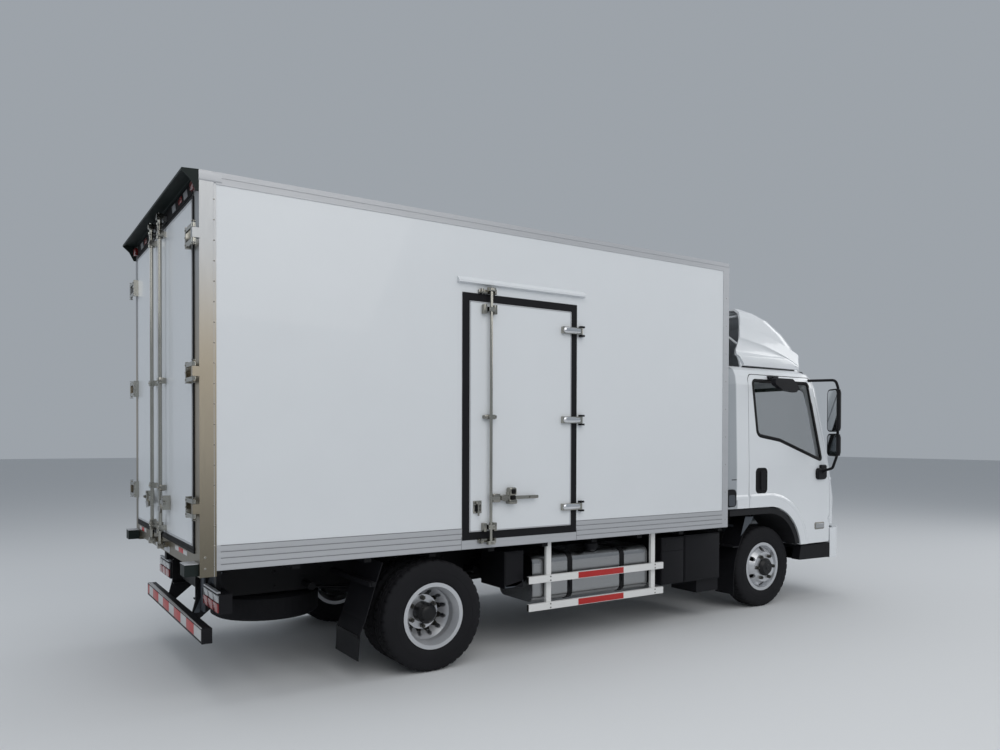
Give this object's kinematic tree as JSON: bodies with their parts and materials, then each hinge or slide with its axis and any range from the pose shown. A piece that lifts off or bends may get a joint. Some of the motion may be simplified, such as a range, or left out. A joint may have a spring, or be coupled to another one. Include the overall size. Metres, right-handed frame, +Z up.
{
  "type": "refrigerated box truck",
  "caption": "Light truck with a forward tilting cab, an insulated box body with rear and side doors, and twin rear wheels.",
  "frame": {"origin": "on the ground under the middle of the whole truck's length", "axes": "+X to the front of the truck, +Y to its left, +Z up"},
  "size_m": [6.4482, 2.4162, 3.105],
  "materials": {
    "frame_black": "satin",
    "box_white": "gloss",
    "cab_white": "gloss",
    "guard_white": "satin",
    "stainless": "brushed",
    "aluminium_trim": "satin",
    "tank_aluminium": "brushed",
    "dull_steel": "dull",
    "cast_metal": "rough",
    "black_plastic": "matte",
    "unit_dark": "matte",
    "lamp_plastic": "gloss",
    "black_rubber": "matte",
    "tyre_black": "matte",
    "rim_silver": "satin",
    "seat_cloth": "woven",
    "glass": "clear"
  },
  "bodies": {
    "chassis": {"ladder_frame": "frame_black", "box_subframe": "frame_black", "box_floor": "box_white", "box_side_walls": "box_white", "box_front_wall": "box_white", "box_roof": "box_white", "rear_portal": "stainless", "box_edge_trim": "aluminium_trim", "side_door_frame": "black_plastic", "rear_visor_and_buffers": "black_rubber", "front_axle": "frame_black", "rear_axle": "frame_black", "leaf_springs": "frame_black", "engine": "cast_metal", "fuel_tank": "tank_aluminium", "tank_brackets": "frame_black", "side_boxes": "black_plastic", "silencer": "dull_steel", "side_guards": "guard_white", "underrun_bar": "guard_white", "tail_lamps": "lamp_plastic", "spare_wheel": "tyre_black", "mudguards_and_steps": "black_plastic", "front_bumper": "cab_white", "refrigeration_unit": "unit_dark"},
    "cab": {"cab_shell": "cab_white", "cab_arch_liners": "black_plastic", "cab_glass": "glass", "dashboard": "black_plastic", "seats": "seat_cloth", "headlamps": "lamp_plastic", "grille": "black_plastic", "roof_deflector": "cab_white"},
    "side_door": {"side_door": "box_white", "side_door_hardware": "stainless"},
    "track_rod": {"track_rod": "frame_black"},
    "cab_left_door": {"cab_left_door": "cab_white", "cab_left_window": "glass", "cab_left_mirror": "black_plastic"},
    "rear_left_door": {"rear_left_door": "box_white", "rear_left_door_hardware": "stainless"},
    "front_left_knuckle": {"front_left_knuckle": "cast_metal"},
    "front_left_wheel": {"front_left_tyre": "tyre_black", "front_left_rim": "rim_silver"},
    "rear_left_wheels": {"rear_left_tyres": "tyre_black", "rear_left_rims": "rim_silver"},
    "cab_right_door": {"cab_right_door": "cab_white", "cab_right_window": "glass", "cab_right_mirror": "black_plastic"},
    "rear_right_door": {"rear_right_door": "box_white", "rear_right_door_hardware": "stainless"},
    "front_right_knuckle": {"front_right_knuckle": "cast_metal"},
    "front_right_wheel": {"front_right_tyre": "tyre_black", "front_right_rim": "rim_silver"},
    "rear_right_wheels": {"rear_right_tyres": "tyre_black", "rear_right_rims": "rim_silver"}
  },
  "joints": [
    {"name": "front_left_steer", "type": "hinge", "parent": "chassis", "child": "front_left_knuckle", "pos_m": [2.026, 0.668, 0.3775], "axis": [0, 0, 1], "range_deg": [-35, 35]},
    {"name": "front_left_wheel_spin", "type": "hinge", "parent": "front_left_knuckle", "child": "front_left_wheel", "pos_m": [2.026, 0.786, 0.3775], "axis": [0, 1, 0], "continuous": true},
    {"name": "rear_left_wheels_spin", "type": "hinge", "parent": "chassis", "child": "rear_left_wheels", "pos_m": [-1.602, 0.872, 0.3775], "axis": [0, 1, 0], "continuous": true},
    {"name": "cab_left_door_hinge", "type": "hinge", "parent": "cab", "child": "cab_left_door", "pos_m": [2.93, 0.944, 1.3], "axis": [0, 0, -1], "range_deg": [0, 70]},
    {"name": "rear_left_door_hinge", "type": "hinge", "parent": "chassis", "child": "rear_left_door", "pos_m": [-3.162, 1.099, 1.96], "axis": [0, 0, -1], "range_deg": [0, 260]},
    {"name": "front_right_steer", "type": "hinge", "parent": "chassis", "child": "front_right_knuckle", "pos_m": [2.026, -0.668, 0.3775], "axis": [0, 0, 1], "range_deg": [-35, 35]},
    {"name": "front_right_wheel_spin", "type": "hinge", "parent": "front_right_knuckle", "child": "front_right_wheel", "pos_m": [2.026, -0.786, 0.3775], "axis": [0, 1, 0], "continuous": true},
    {"name": "rear_right_wheels_spin", "type": "hinge", "parent": "chassis", "child": "rear_right_wheels", "pos_m": [-1.602, -0.872, 0.3775], "axis": [0, 1, 0], "continuous": true},
    {"name": "cab_right_door_hinge", "type": "hinge", "parent": "cab", "child": "cab_right_door", "pos_m": [2.93, -0.944, 1.3], "axis": [0, 0, 1], "range_deg": [0, 70]},
    {"name": "rear_right_door_hinge", "type": "hinge", "parent": "chassis", "child": "rear_right_door", "pos_m": [-3.162, -1.099, 1.96], "axis": [0, 0, 1], "range_deg": [0, 260]},
    {"name": "track_rod_pivot", "type": "hinge", "parent": "front_left_knuckle", "child": "track_rod", "pos_m": [1.876, 0.668, 0.279], "axis": [0, 0, 1], "range_deg": [-35, 35]},
    {"name": "cab_tilt", "type": "hinge", "parent": "chassis", "child": "cab", "pos_m": [3.03, 0, 0.74], "axis": [0, 1, 0], "range_deg": [0, 45]},
    {"name": "side_door_hinge", "type": "hinge", "parent": "chassis", "child": "side_door", "pos_m": [-0.368, -1.108, 1.723], "axis": [0, 0, 1], "range_deg": [0, 165]}
  ],
  "couplings": [
    {"joint": "front_right_steer", "follows": "front_left_steer", "ratio": 1},
    {"joint": "track_rod_pivot", "follows": "front_left_steer", "ratio": -1}
  ]
}
